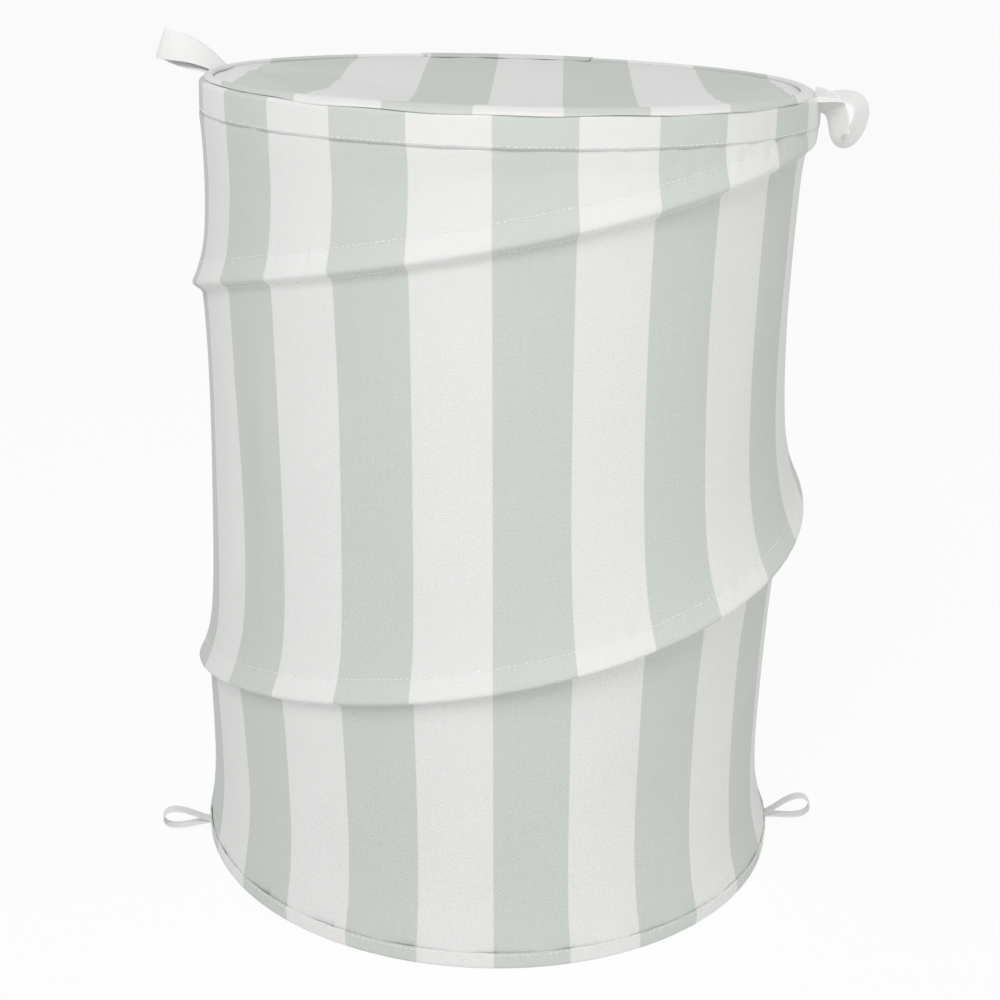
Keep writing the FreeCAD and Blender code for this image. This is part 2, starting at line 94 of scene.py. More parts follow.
CLOTH = 0.0006                                    # wall and lid cloth
HEM = 0.0007                                      # doubled cloth of the hems
BASE_CLOTH = 0.0008
TAPE_THICK = 0.0005
SKIN_GAP = 0.0001                                 # between two layers sewn together

# The coil: it starts in the bottom hem, climbs to the right and ends under the rim.
COIL_START = math.radians(98)
COIL_TURNS = 2.02
COIL_FOOT = 0.004
COIL_RISE = 0.2576                                # per turn
COIL_CEILING = 0.491
COIL_EASE = 0.006
COIL_BEGIN = 0.08                                 # turns over which the ridge grows out of the hem
COIL_END = 0.04                                   # turns over which it fades out at its end
CASING_ABOVE = 0.0125                             # stitch line above the wire
CASING_BELOW = 0.0045
CASING_EDGE = 0.001

# The wall between its supports.
WAIST_RADIUS = 0.1916                             # at the floor
WAIST_TAPER = 0.0102                              # per metre of height
WAIST_SIDE = 0.0026                               # deeper at the right
CREST_SWELL = 0.0100                              # the coil stands out most at half its turns
CREST_SIDE = 0.0012
CREST_ROUND = 0.0013                              # the wire rounds the crest
REACH_ABOVE = 0.026                               # how far the cloth above a crest takes to fall in
REACH_SIDE = 0.009
STEP_SHARE = 0.60                                 # share of the lift lost in the step under a crest
STEP_HEIGHT = 0.0052
REACH_BELOW = 0.050
FLOOR_REACH = 0.024
RIM_REACH = 0.016
LIFT_POWER = 4
SLACK_LIFT = 0.006                                # cloth lifted less than this is slack
PUCKER = 0.00018
TUCK = 0.0026                                     # the wall slips under a hem over this height
PULL = 0.0042                                     # the right handle draws the rim out this far
PULL_PLACE = math.radians(79)
PULL_WIDTH = math.radians(13)
ROW_CROWDING = 0.8                                # how close the mesh's rows lie at a crest
LAST_TURN_FROM = 1.7                              # turns after which the coil flattens under the rim
DROP_SPREAD = 0.040                               # height over which the last turn's flattening fades

# The coil's tape and the wall's side seam.
SEWN_FROM = 0.06                                  # turn at which the tape and its stitches start
SEWN_TURNS = 1.86
POCKET_END = 1.94
POCKET_SPARE = 0.001                              # tape beyond each stitch line
POCKET_BULGE = 0.0031
SEAM_ANGLE = math.radians(158)
SEAM_HALF = 0.0065
SEAM_RIDGE = 0.0007
HEM_WAVE = 0.00012

# Stripes.
STRIPES = 26
STRIPE_ANGLE = TURN / STRIPES
STRIPE_START = math.radians(-71.5)
STRIPE_TWIST = math.radians(4)                    # the wall is wound a little between rim and floor
LID_STRIPE = 0.048
LID_LEAN = 0.030
LID_EDGE_MARK = 0.184
LID_SHIFT = 0.0064
LID_STRETCH = 0.30

# The lid.
HANDLES = (math.radians(-105), math.radians(75))
LID_SAG = 0.0160
LID_SAG_POWER = 1.9
LID_HOLLOW = 0.0032
LID_EDGE_WAVE = 0.0006
LID_WAVE = 0.0012
LID_HELD_BACK = 0.0040
FAN_DEPTHS = (0.0022, 0.0014)                     # creases at the left and the right handle
FAN_FOLDS = 7
FAN_REACH = 0.055
FAN_START = 0.03
LIP_STEP = 0.0021
LIP_FROM = 0.72

# The base.
BASE_LOW = 0.0010
BASE_RIPPLE = 0.0007
BASE_TAPE_LOW = 0.0019

# Stitches.
STITCH = 0.0026
THREAD = 0.00055
STITCH_PITCH = 0.0036
SEAM_INSET = 0.0016                               # stitches from the edge of a hem
HEM_PROUD = 0.1                                   # how far a stitch stands out, in threads
COIL_PROUD = 0.15

# Cloth in the materials.
SLUB_LENGTH = 0.03                                # noise is drawn out to about thirty threads
EDGE_FUZZ = 0.00035                               # raggedness of a stripe's edge
SINGLE_LAYER_SHADE = 0.968                               # painted shade: cloth of one layer is drawn darker, for the shaded inside seen through it
LID_SHADE_LIFT = 1.0                                 # the lid gets none of the single-layer painted shade, so it is drawn as light as doubled cloth


# ---------------------------------------------------------------------------
# Mesh helpers
# ---------------------------------------------------------------------------

def smooth(x):
    """Eases from 0 to 1: 3x^2 - 2x^3 between 0 and 1, flat outside."""
    x = np.clip(x, 0, 1)
    return x * x * (3 - 2 * x)


def bump(x, width):
    """A bell: exp(-(x / width)^2)."""
    return np.exp(-(x / width) ** 2)


def ring_points(angle, radius, height):
    """Points at an angle from the front, -Y, turning towards +X, at a radius and a height."""
    angle, radius, height = np.broadcast_arrays(angle, radius, height)
    return np.stack([radius * np.sin(angle), -radius * np.cos(angle), height], axis=-1)


def mesh_from(name, points, faces):
    """A mesh object of four-cornered faces. Where two neighbouring corners are one point the face has
    three, and where more are it is left out. Also gives the points used and the corners kept."""
    double = faces == np.roll(faces, -1, axis=1)
    four, three = double.sum(axis=1) == 0, double.sum(axis=1) == 1
    kept = np.zeros(faces.shape, bool)
    kept[four] = True
    kept[three] = ~double[three]
    quads, triangles = faces[four], faces[three][kept[three]].reshape(-1, 3)
    used, order = np.unique(np.concatenate([quads.ravel(), triangles.ravel()]), return_inverse=True)
    order = order.ravel()
    mesh = bpy.data.meshes.new(name)
    corners = order[:quads.size].reshape(-1, 4).tolist() + order[quads.size:].reshape(-1, 3).tolist()
    mesh.from_pydata(points[used].tolist(), [], corners)
    mesh.shade_smooth()
    piece = bpy.data.objects.new(name, mesh)
    bpy.context.scene.collection.objects.link(piece)
    return piece, used, (four, three, kept)


def make_piece(name, points, cloth_uv, stripe=None, join_u=False, join_v=False, weld=None, doubled=None):
    """A grid of points (u, v, 3) as a mesh that faces du x dv.

    join_u and join_v make the last row the first one again. weld gives each grid point the
    index of the point that it falls on, so that a pole or a trimmed edge closes without
    doubled points.
    """
    own = np.arange(points.shape[0] * points.shape[1]).reshape(points.shape[:2])
    shared = own.copy() if weld is None else weld.copy()
    if join_u:
        shared[-1] = shared[0]
    if join_v:
        shared[:, -1] = shared[:, 0]

    def corners(grid):
        around = [grid[:-1, :-1], grid[1:, :-1], grid[1:, 1:], grid[:-1, 1:]]
        return np.stack(around, axis=-1).reshape(-1, 4)

    piece, used, (four, three, kept) = mesh_from(name, points.reshape(-1, 3), corners(shared))
    marks = corners(own)
    marks = np.concatenate([marks[four].ravel(), marks[three][kept[three]]])
    layer = piece.data.uv_layers.new(name="cloth")
    layer.data.foreach_set("uv", cloth_uv.reshape(-1, 2)[marks].astype(np.float32).ravel())
    for label, values in (("stripe", stripe), ("doubled", doubled)):
        if values is not None:
            attribute = piece.data.attributes.new(label, "FLOAT", "POINT")
            attribute.data.foreach_set("value", values.reshape(-1)[used].astype(np.float32))
    return piece


def thicken(piece, thickness, offset=-1.0):
    """Gives a sheet its thickness; offset -1 grows it inwards, 0 to both sides."""
    wall = piece.modifiers.new("thickness", "SOLIDIFY")
    wall.thickness = thickness
    wall.offset = offset
    wall.use_even_offset = False
    return piece


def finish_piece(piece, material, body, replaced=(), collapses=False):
    """Material, body and replaced nodes of one piece. A piece that collapses gets a mesh of its own."""
    piece.data.materials.append(material)
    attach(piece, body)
    if replaced:
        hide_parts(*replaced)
    if collapses:
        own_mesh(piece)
    return piece


def unit(vectors):
    """Vectors scaled to length one."""
    return vectors / np.linalg.norm(vectors, axis=-1, keepdims=True)


def stitches(name, centre, along, outward, length=STITCH, width=THREAD):
    """A row of sewn stitches, a spindle on each centre.

    At a share a of half its length, from -1 to 1, its radius is width / 2 sqrt(1 - a^4).
    """
    along, outward = unit(along), unit(outward)
    side = np.cross(outward, along)
    a = np.array([-1.0, -0.8, 0.0, 0.8, 1.0])
    swell = np.sqrt(1 - a ** 4)
    turn = np.linspace(0, TURN, 6)
    shaft = along[:, None, None] * (a * length / 2)[None, :, None, None]
    circle = outward[:, None, None] * np.cos(turn)[:, None] + side[:, None, None] * np.sin(turn)[:, None]
    points = centre[:, None, None] + shaft + circle * (swell * width / 2)[None, :, None, None]
    index = np.arange(points[..., 0].size).reshape(points.shape[:3])
    index[..., -1] = index[..., 0]
    index[:, 0], index[:, -1] = index[:, :1, 0], index[:, -1:, 0]
    around = [index[:, :-1, :-1], index[:, 1:, :-1], index[:, 1:, 1:], index[:, :-1, 1:]]
    faces = np.stack(around, axis=-1).reshape(-1, 4)
    return mesh_from(name, points.reshape(-1, 3), faces)[0]


def stitch_line(name, path, outward_of, pitch=STITCH_PITCH):
    """Stitches at an even pitch along a path given as a function of a share from 0 to 1."""
    share = np.linspace(0, 1, 3000)
    line = path(share)
    run = np.concatenate([[0], np.cumsum(np.linalg.norm(np.diff(line, axis=0), axis=1))])
    places = np.interp(np.arange(pitch / 2, run[-1], pitch), run, share)
    step = 0.2 / len(share)
    along = path(places + step) - path(places - step)
    return stitches(name, path(places), along, outward_of(places))


# ---------------------------------------------------------------------------
# Materials
# ---------------------------------------------------------------------------

def colour(code):
    """An sRGB hex colour as linear RGBA."""
    parts = [int(code[i:i + 2], 16) / 255 for i in (1, 3, 5)]
    return [p / 12.92 if p <= 0.04045 else ((p + 0.055) / 1.055) ** 2.4 for p in parts] + [1.0]


def add(tree, kind, inputs=None, **settings):
    """Adds one shader node: an input given as a socket is linked, any other value is set on it."""
    made = tree.nodes.new("ShaderNode" + kind)
    for key, value in settings.items():
        setattr(made, key, value)
    for key, value in (inputs or {}).items():
        if isinstance(value, bpy.types.NodeSocket):
            tree.links.new(value, made.inputs[key])
        else:
            made.inputs[key].default_value = value
    return made


def new_material(name):
    """An empty node material, and its tree with an output in it."""
    material = bpy.data.materials.new(name)
    material.use_nodes = True
    material.node_tree.nodes.clear()
    output = material.node_tree.nodes.new("ShaderNodeOutputMaterial")
    return material, material.node_tree, output


def woven(name, pale, dark, thread, roughness, sheen, ribbed=False):
    """A woven cloth: two yarn colours that change with the stripe attribute's sign, slubs and mottling;
    striped cloth also gets painted shade where it is one layer thick.

    The weave's height is sin(pi x / thread) sin(pi y / thread), or |sin(pi y / thread)| if ribbed.
    """
    material, tree, output = new_material(name)
    cloth = add(tree, "UVMap", uv_map="cloth").outputs["UV"]
    place = add(tree, "TexCoord").outputs["Object"]
    warp_map = add(tree, "Mapping", {"Vector": cloth, "Scale": (1.0, SLUB_LENGTH, 1.0)})
    weft_map = add(tree, "Mapping", {"Vector": cloth, "Scale": (SLUB_LENGTH, 1.0, 1.0)})
    warp_slub = add(tree, "TexNoise", {"Vector": warp_map.outputs[0], "Scale": 0.8 / thread, "Detail": 2.0})
    weft_slub = add(tree, "TexNoise", {"Vector": weft_map.outputs[0], "Scale": 0.8 / thread, "Detail": 2.0})
    yarn = add(tree, "Math", {0: warp_slub.outputs["Fac"], 1: weft_slub.outputs["Fac"]}, operation="ADD")
    mottle = add(tree, "TexNoise", {"Vector": place, "Scale": 11.0, "Detail": 3.0, "Roughness": 0.55})

    split = add(tree, "SeparateXYZ", {"Vector": cloth})
    across = add(tree, "Math", {0: split.outputs["X"], 1: math.pi / thread}, operation="MULTIPLY")
    down = add(tree, "Math", {0: split.outputs["Y"], 1: math.pi / thread}, operation="MULTIPLY")
    warp = add(tree, "Math", {0: across.outputs[0]}, operation="SINE")
    fill = add(tree, "Math", {0: down.outputs[0]}, operation="SINE")
    if ribbed:
        weave = add(tree, "Math", {0: fill.outputs[0]}, operation="ABSOLUTE")
    else:
        weave = add(tree, "Math", {0: warp.outputs[0], 1: fill.outputs[0]}, operation="MULTIPLY")
    relief = add(tree, "Math", {0: weave.outputs[0], 1: 0.5, 2: yarn.outputs[0]}, operation="MULTIPLY_ADD")

    light = add(tree, "MapRange", {"Value": mottle.outputs["Fac"], "To Min": 0.965, "To Max": 1.03})
    grain = add(tree, "MapRange", {"Value": yarn.outputs[0], "From Min": 0.6, "From Max": 1.4,
                                   "To Min": 0.975, "To Max": 1.02})
    tone = add(tree, "Math", {0: light.outputs[0], 1: grain.outputs[0]}, operation="MULTIPLY")
    if dark:
        # Painted shade: cloth of one layer is darkened to the single-layer tone, standing in for the shaded
        # inside seen through it; doubled cloth keeps its full tone.
        backed = add(tree, "Attribute", attribute_name="doubled").outputs["Fac"]
        painted_layer_shade = add(tree, "MapRange", {"Value": backed, "To Min": SINGLE_LAYER_SHADE, "To Max": 1.0})
        tone = add(tree, "Math", {0: tone.outputs[0], 1: painted_layer_shade.outputs[0]}, operation="MULTIPLY")
        stripe = add(tree, "Attribute", attribute_name="stripe").outputs["Fac"]
        ragged = add(tree, "Math", {0: yarn.outputs[0], 1: EDGE_FUZZ, 2: -EDGE_FUZZ},
                     operation="MULTIPLY_ADD")
        edge = add(tree, "Math", {0: stripe, 1: ragged.outputs[0]}, operation="ADD")
        mask = add(tree, "MapRange", {"Value": edge.outputs[0], "From Min": -EDGE_FUZZ,
                                      "From Max": EDGE_FUZZ})
        yarns = add(tree, "Mix", {0: mask.outputs[0], 6: colour(pale), 7: colour(dark)}, data_type="RGBA")
        cloth_colour = add(tree, "Mix", {0: 1.0, 6: yarns.outputs[2], 7: tone.outputs[0]},
                   data_type="RGBA", blend_type="MULTIPLY")
    else:
        cloth_colour = add(tree, "Mix", {0: 1.0, 6: colour(pale), 7: tone.outputs[0]},
                   data_type="RGBA", blend_type="MULTIPLY")
    bumps = add(tree, "Bump", {"Height": relief.outputs[0], "Strength": 0.35, "Distance": thread * 0.25})
    rough = add(tree, "MapRange", {"Value": yarn.outputs[0], "From Min": 0.6, "From Max": 1.4,
                                   "To Min": roughness - 0.05, "To Max": roughness + 0.05})
    shader = add(tree, "BsdfPrincipled", {
        "Base Color": cloth_colour.outputs[2], "Roughness": rough.outputs[0], "IOR": 1.5,
        "Sheen Weight": sheen, "Sheen Roughness": 0.5, "Normal": bumps.outputs[0]})
    tree.links.new(shader.outputs[0], output.inputs[0])
    return material


def spun(name, tint, roughness, metallic, scale, stretch, depth):
    """Thread or drawn metal: one colour, broken by a noise that may be scaled along an axis."""
    material, tree, output = new_material(name)
    place = add(tree, "TexCoord").outputs["Object"]
    drawn = add(tree, "Mapping", {"Vector": place, "Scale": stretch})
    noise = add(tree, "TexNoise", {"Vector": drawn.outputs[0], "Scale": scale, "Detail": 4.0})
    tone = add(tree, "MapRange", {"Value": noise.outputs["Fac"], "To Min": 0.85, "To Max": 1.1})
    shade = add(tree, "Mix", {0: 1.0, 6: colour(tint), 7: tone.outputs[0]},
                data_type="RGBA", blend_type="MULTIPLY")
    rough = add(tree, "MapRange", {"Value": noise.outputs["Fac"], "To Min": roughness - 0.08,
                                   "To Max": roughness + 0.08})
    bumps = add(tree, "Bump", {"Height": noise.outputs["Fac"], "Strength": 0.3, "Distance": depth})
    shader = add(tree, "BsdfPrincipled", {
        "Base Color": shade.outputs[2], "Roughness": rough.outputs[0], "Metallic": metallic,
        "Normal": bumps.outputs[0]})
    tree.links.new(shader.outputs[0], output.inputs[0])
    return material


# Striped cotton canvas, a plain weave of yarns dyed before weaving: a matt face with a faint nap, and
# colours that meet at a slightly ragged edge. Threads lie about 0.5 mm apart and are drawn 0.9 mm apart.
COTTON = woven("striped_plain_weave_cotton", "#E9E9E8", "#CED3CE", 0.0009, 0.88, 0.12)
# White twill tape, woven narrow and pressed flat: fine ribs across it, smoother and brighter than the
# cotton. Its ribs lie about 0.6 mm apart and are drawn 1.1 mm apart.
TAPE = woven("white_twill_tape", "#F0F0EF", None, 0.0011, 0.72, 0.18, ribbed=True)
# Bleached lining cloth, a plain weave left unfinished: dull and even. Threads lie about 0.5 mm apart and
# are drawn 1.0 mm apart.
LINING = woven("white_lining_cloth", "#E9E9E7", None, 0.0010, 0.9, 0.1)
# Sewing thread, spun from polyester and twisted: smooth with a faint gloss.
SEWING = spun("white_sewing_thread", "#F4F4F3", 0.5, 0.0, 900.0, (1, 1, 1), 0.00005)
# Spring steel wire, drawn hard through a die: bright grey with fine marks.
STEEL = spun("drawn_spring_steel", "#A9ABAE", 0.32, 1.0, 500.0, (1, 1, 6), 0.00002)
# Aluminium sleeve, cut from tube and crimped in a press: paler and rougher than the wire.
SLEEVE = spun("pressed_aluminium", "#C9CACC", 0.42, 1.0, 300.0, (1, 1, 1), 0.00003)


# ---------------------------------------------------------------------------
# Shape of the wall
# ---------------------------------------------------------------------------

def wrapped(angle, centre):
    """The angle from centre, from minus half a turn to half a turn."""
    return np.mod(angle - centre + math.pi, TURN) - math.pi


def pull(angle):
    """How far the right handle draws the rim outwards: a bell about its root."""
    return PULL * bump(wrapped(angle, PULL_PLACE), PULL_WIDTH)


def stripe_of(angle, z):
    """Distance to the nearest stripe edge, above 0 in a green stripe: -sin(pi phase) w / pi."""
    start = STRIPE_START + STRIPE_TWIST * (1 - z / RIM_TOP)
    return -np.sin(math.pi * (angle - start) / STRIPE_ANGLE) * STRIPE_ANGLE * RIM_RADIUS / math.pi


def coil_height(turns):
    """Height of the coil after some turns, flattened under the rim.

    With rise = foot + climb t, it is ceiling - ease ln(1 + exp((ceiling - rise) / ease)).
    """
    rise = COIL_FOOT + COIL_RISE * turns
    return COIL_CEILING - COIL_EASE * np.logaddexp(0, (COIL_CEILING - rise) / COIL_EASE)


# Soft dents: angle in degrees, height, half width in degrees, half height, depth.
DENTS = (
    (-54, 0.270, 5, 0.070, 0.0024), (-47, 0.330, 3, 0.050, -0.0012), (-25, 0.340, 9, 0.050, 0.0010),
    (17, 0.330, 10, 0.080, 0.0010), (46, 0.390, 7, 0.050, 0.0016), (-50, 0.070, 8, 0.030, 0.0015),
    (30, 0.090, 11, 0.040, 0.0012), (118, 0.300, 13, 0.080, 0.0020), (160, 0.180, 9, 0.060, 0.0014),
    (205, 0.380, 12, 0.060, 0.0016), (232, 0.200, 12, 0.070, 0.0018), (262, 0.300, 8, 0.060, 0.0012),
)


def wall_radius(angle, z):
    """Outer radius of the wall cloth.

    Between its supports the cloth pulls in to a waist. Each turn of the coil lifts it to a
    crest by h exp(-d / reach) above the wire and by a short step and a slow fall below it, the
    rings lift it the same way, and the lifts add as a fourth-power mean so that the highest
    one leads. Shallow waves, puckers at the seams and the dents come on top.
    """
    angle, z = np.broadcast_arrays(angle, z)
    cone = FLOOR_RADIUS + (RIM_RADIUS - FLOOR_RADIUS) * z / RIM_TOP
    waist = WAIST_RADIUS - WAIST_TAPER * z - WAIST_SIDE * np.sin(angle)
    lap = np.mod(angle - COIL_START, TURN) / TURN
    lifts = np.zeros_like(cone)
    near_seam = np.zeros_like(cone)
    for turn in range(3):
        turns = lap + turn
        fade_out = smooth((COIL_TURNS + COIL_END / 2 - turns) / COIL_END)
        there = smooth(turns / COIL_BEGIN) * fade_out
        swell = CREST_SWELL * np.sin(math.pi * np.clip(turns / COIL_TURNS, 0, 1))
        crest = cone + swell + CREST_SIDE * np.sin(angle)
        offset = z - coil_height(turns)
        distance = np.hypot(offset, CREST_ROUND) - CREST_ROUND
        above = np.exp(-distance / (REACH_ABOVE + REACH_SIDE * np.sin(angle)))
        step = STEP_SHARE * (1 - smooth(distance / STEP_HEIGHT))
        below = step + (1 - STEP_SHARE) * np.exp(-distance / REACH_BELOW)
        lifts += (there * (crest - waist) * np.where(offset > 0, above, below)) ** LIFT_POWER
        near_seam += there * bump(offset - CASING_ABOVE, 0.006)
        near_seam += there * bump(offset + CASING_BELOW, 0.003)
    floor_lift = (cone - waist) * np.exp(-np.abs(z - FLOOR_SEAM) / FLOOR_REACH)
    rim_lift = (cone + pull(angle) - waist) * np.exp(-np.abs(RIM_SEAM - z) / RIM_REACH)
    lifts += floor_lift ** LIFT_POWER
    lifts += rim_lift ** LIFT_POWER
    lifts = lifts ** (1 / LIFT_POWER)
    slack = 1 - smooth(lifts / SLACK_LIFT)
    radius = waist + lifts
    waves = 0.0007 * np.sin(3 * angle + 9 * z) + 0.0005 * np.sin(7 * angle - 16 * z + 1.3)
    radius = radius + slack * waves
    for place, height, wide, tall, depth in DENTS:
        spot = bump(wrapped(angle, math.radians(place)), math.radians(wide)) * bump(z - height, tall)
        radius = radius - depth * slack * spot
    near_seam += bump(z - RIM_SEAM + 0.004, 0.007) + bump(z - FLOOR_SEAM - 0.004, 0.006)
    inside_hem = HEM + SKIN_GAP
    rim = smooth((z - RIM_SEAM) / TUCK + 1)
    foot = smooth((FLOOR_SEAM - z) / TUCK + 1)
    puckers = PUCKER * near_seam * (1 - rim) * (1 - foot)
    radius = radius + puckers * (np.sin(97 * angle) + 0.7 * np.sin(61 * angle + 40 * z))
    radius = radius + rim * (RIM_RADIUS + pull(angle) - inside_hem - radius)
    return radius + foot * (FLOOR_RADIUS - inside_hem - radius)

def casing_share(angle, z):
    """1 where the coil's casing or a hem backs the wall and 0 elsewhere, with an edge 1 mm wide."""
    share = 1.0 * (z > RIM_SEAM) + 1.0 * (z < FLOOR_SEAM)
    lap = np.mod(angle - COIL_START, TURN) / TURN
    for turn in range(3):
        offset = z - coil_height(np.minimum(lap + turn, COIL_TURNS))
        inside = smooth((offset + CASING_BELOW) / CASING_EDGE + 0.5)
        backed = inside * smooth((CASING_ABOVE - offset) / CASING_EDGE + 0.5)
        share = share + backed * (lap + turn < COIL_TURNS)
    return np.clip(share, 0, 1)


def wall_cloth():
    """The wall, one strip sewn at the back: its rows follow the coil, close together at each crest.

    Height of a row w at an angle: foot + rise (lap + w), w = k + t - c sin(2 pi t) / (2 pi) in each
    turn k, drawn down to the flattened last turn and cut off at the hems.
    """
    columns, per_turn, turns = 460, 38, 4
    angle = np.linspace(SEAM_ANGLE, SEAM_ANGLE + TURN, columns + 1)
    step = np.arange(per_turn * turns + 1) / per_turn
    share = np.mod(step, 1)
    row = np.floor(step) - 2 + share - ROW_CROWDING * np.sin(TURN * share) / TURN
    lap = (angle - COIL_START) / TURN
    steady = COIL_FOOT + COIL_RISE * (lap[:, None] + row[None])
    last = lap + np.ceil(LAST_TURN_FROM - lap)
    last_steady = COIL_FOOT + COIL_RISE * last
    drop = np.minimum(last_steady - coil_height(last), COIL_FOOT + COIL_RISE * COIL_TURNS - COIL_CEILING)
    height = steady - drop[:, None] * bump(steady - last_steady[:, None], DROP_SPREAD)
    low = (height <= WALL_LOW).sum(axis=1) - 1
    high = (height < WALL_HIGH).sum(axis=1)
    height = np.clip(height, WALL_LOW, WALL_HIGH)
    kept = np.clip(np.arange(height.shape[1])[None], low[:, None], high[:, None])
    weld = np.arange(columns + 1)[:, None] * height.shape[1] + kept
    turning = np.broadcast_to(angle[:, None], height.shape)
    points = ring_points(turning, wall_radius(turning, height), height)
    uv = np.stack([turning * FLOOR_RADIUS, height], axis=-1)
    # The casing share also sets the painted shade: the wall is drawn darker where it is one layer.
    piece = make_piece("wall_cloth", points, uv, stripe_of(turning, height), weld=weld,
                       doubled=casing_share(turning, height))
    return thicken(piece, CLOTH)


def coil_path(turns, offset, depth):
    """Points beside the coil's crest, so far above it and so far inside the wall's outer face."""
    angle = COIL_START + TURN * turns
    height = np.clip(coil_height(turns) + offset, FLOOR_WIRE_Z + 3 * WIRE, WALL_HIGH)
    return ring_points(angle, wall_radius(angle, height) - depth, height)


def swept_tube(name, path, radius, sides=10):
    """A round wire: a circle carried along a path, closed at both ends, in a frame that stays upright."""
    along = unit(np.gradient(path, axis=0))
    side = unit(np.cross(along, np.array([0.0, 0.0, 1.0])))
    upward = np.cross(side, along)
    turn = np.linspace(0, TURN, sides + 1)[None, :, None]
    ring = path[:, None] + radius * (np.cos(turn) * side[:, None] + np.sin(turn) * upward[:, None])
    count = sides + 1
    first = np.repeat(path[:1, None], count, 1)
    last = np.repeat(path[-1:, None], count, 1)
    points = np.concatenate([first, ring, last])
    weld = np.arange(points.shape[0] * count).reshape(-1, count)
    weld[0], weld[-1] = weld[0, 0], weld[-1, 0]
    weld[:, -1] = weld[:, 0]
    run = np.arange(points.shape[0])[:, None] * 0.004 + 0 * turn[..., 0]
    uv = np.stack([0 * run + turn[..., 0] * radius, run], axis=-1)
    return make_piece(name, points, uv, weld=weld)


def spiral_spring():
    """The coil spring: a wire along the crest, just inside the cloth."""
    turns = np.linspace(0, COIL_TURNS, 620)
    return swept_tube("spiral_spring", coil_path(turns, 0, CLOTH + SKIN_GAP + WIRE), WIRE)


def spiral_pocket():
    """The tape that holds the coil inside the wall: flat at its edges, bulging by a bell over the wire."""
    turns = np.linspace(SEWN_FROM, POCKET_END, 640)[:, None]
    across = np.linspace(-CASING_BELOW - POCKET_SPARE, CASING_ABOVE + POCKET_SPARE, 13)[None]
    depth = CLOTH + 2 * SKIN_GAP + (2 * WIRE + SKIN_GAP) * bump(across, POCKET_BULGE)
    points = coil_path(turns, across, depth)
    uv = np.stack([across + 0 * turns, turns * TURN * FLOOR_RADIUS + 0 * across], axis=-1)
    return thicken(make_piece("spiral_pocket_tape", points, uv), TAPE_THICK)


def wall_seam():
    """The side seam inside the wall: the cloth's two ends folded to one side, three layers high.

    It stands off the wall by 0.7 mm (1 - (x / half width)^6).
    """
    height = np.linspace(FLOOR_SEAM + 0.002, RIM_SEAM - 0.001, 220)[None]
    across = np.linspace(-SEAM_HALF, SEAM_HALF, 9)[:, None]
    ridge = SEAM_RIDGE * (1 - (across / SEAM_HALF) ** 6) + 0.0001 * np.sin(500 * height)
    depth = CLOTH + SKIN_GAP + ridge
    angle = SEAM_ANGLE + across / FLOOR_RADIUS
    points = ring_points(angle + 0 * height, wall_radius(angle, height) - depth, height + 0 * across)
    uv = np.stack([across + 0 * height, height + 0 * across], axis=-1)
    stripe = stripe_of(angle + 0 * height, height + 0 * across)
    return thicken(make_piece("wall_seam_fold", points, uv, stripe), CLOTH)


# ---------------------------------------------------------------------------
# Hems
# ---------------------------------------------------------------------------

def hem_cloth(name, outside, wire_radius, wire_z, far, seam, drawn):
    """Cloth folded round a ring wire: a straight outer leg, half an ellipse round the wire, and an
    inner leg that eases back to the wall at the seam. far is the hem's end, drawn widens it locally."""
    angle = np.linspace(0, TURN, 361)[:, None]
    toward = 1 if far > seam else -1
    round_r = outside - HEM / 2 - wire_radius
    round_z = abs(far - wire_z) - HEM / 2
    leg = np.linspace(0, 1, 9)[:-1]
    half = np.linspace(0, math.pi, 15)
    back = np.linspace(0, 1, 9)[1:]
    inner_end = outside - 1.5 * HEM - CLOTH - 2 * SKIN_GAP
    radius = np.concatenate([
        np.full(leg.size, outside - HEM / 2),
        wire_radius + round_r * np.cos(half),
        wire_radius - round_r + (inner_end - wire_radius + round_r) * smooth(back),
    ])
    height = np.concatenate([
        seam + (wire_z - seam) * leg,
        wire_z + toward * round_z * np.sin(half),
        wire_z + (seam - wire_z) * back,
    ])
    if toward < 0:
        radius, height = radius[::-1], height[::-1]
    outer = smooth((radius - wire_radius) / round_r)
    near_wire = bump((height - wire_z) / 0.004, 1.0)
    radius = radius[None] + drawn(angle) * (0.35 + 0.65 * outer) * np.ones_like(angle)
    wave = np.sin(97 * angle) + 0.7 * np.sin(61 * angle) + 0.5 * np.sin(23 * angle + 1)
    radius = radius + HEM_WAVE * wave * (1 - near_wire)
    height = height[None] + 0 * angle
    points = ring_points(angle + 0 * height, radius, height)
    run = np.concatenate([[0], np.cumsum(np.hypot(np.diff(radius[0]), np.diff(height[0])))])[None]
    uv = np.stack([angle * outside + 0 * run, run + 0 * angle], axis=-1)
    doubled = np.ones_like(height)
    piece = make_piece(name, points, uv, stripe_of(angle + 0 * height, height), join_u=True, doubled=doubled)
    return thicken(piece, HEM, 0.0)


def no_pull(angle):
    """The bottom ring keeps its hem round."""
    return 0 * angle


# ---------------------------------------------------------------------------
# Lid
# ---------------------------------------------------------------------------

def lid_stripe(x, y):
    """Distance to the lid's nearest stripe edge, above 0 in a green stripe: -sin(pi phase) w / pi.

    The stripes run front to back, lean a little and are stretched as x + 0.3 x^2.
    """
    across = x - LID_LEAN * (y - LID_EDGE_MARK)
    phase = (across + LID_SHIFT + LID_STRETCH * across ** 2) / LID_STRIPE
    return -np.sin(math.pi * phase) * LID_STRIPE / math.pi


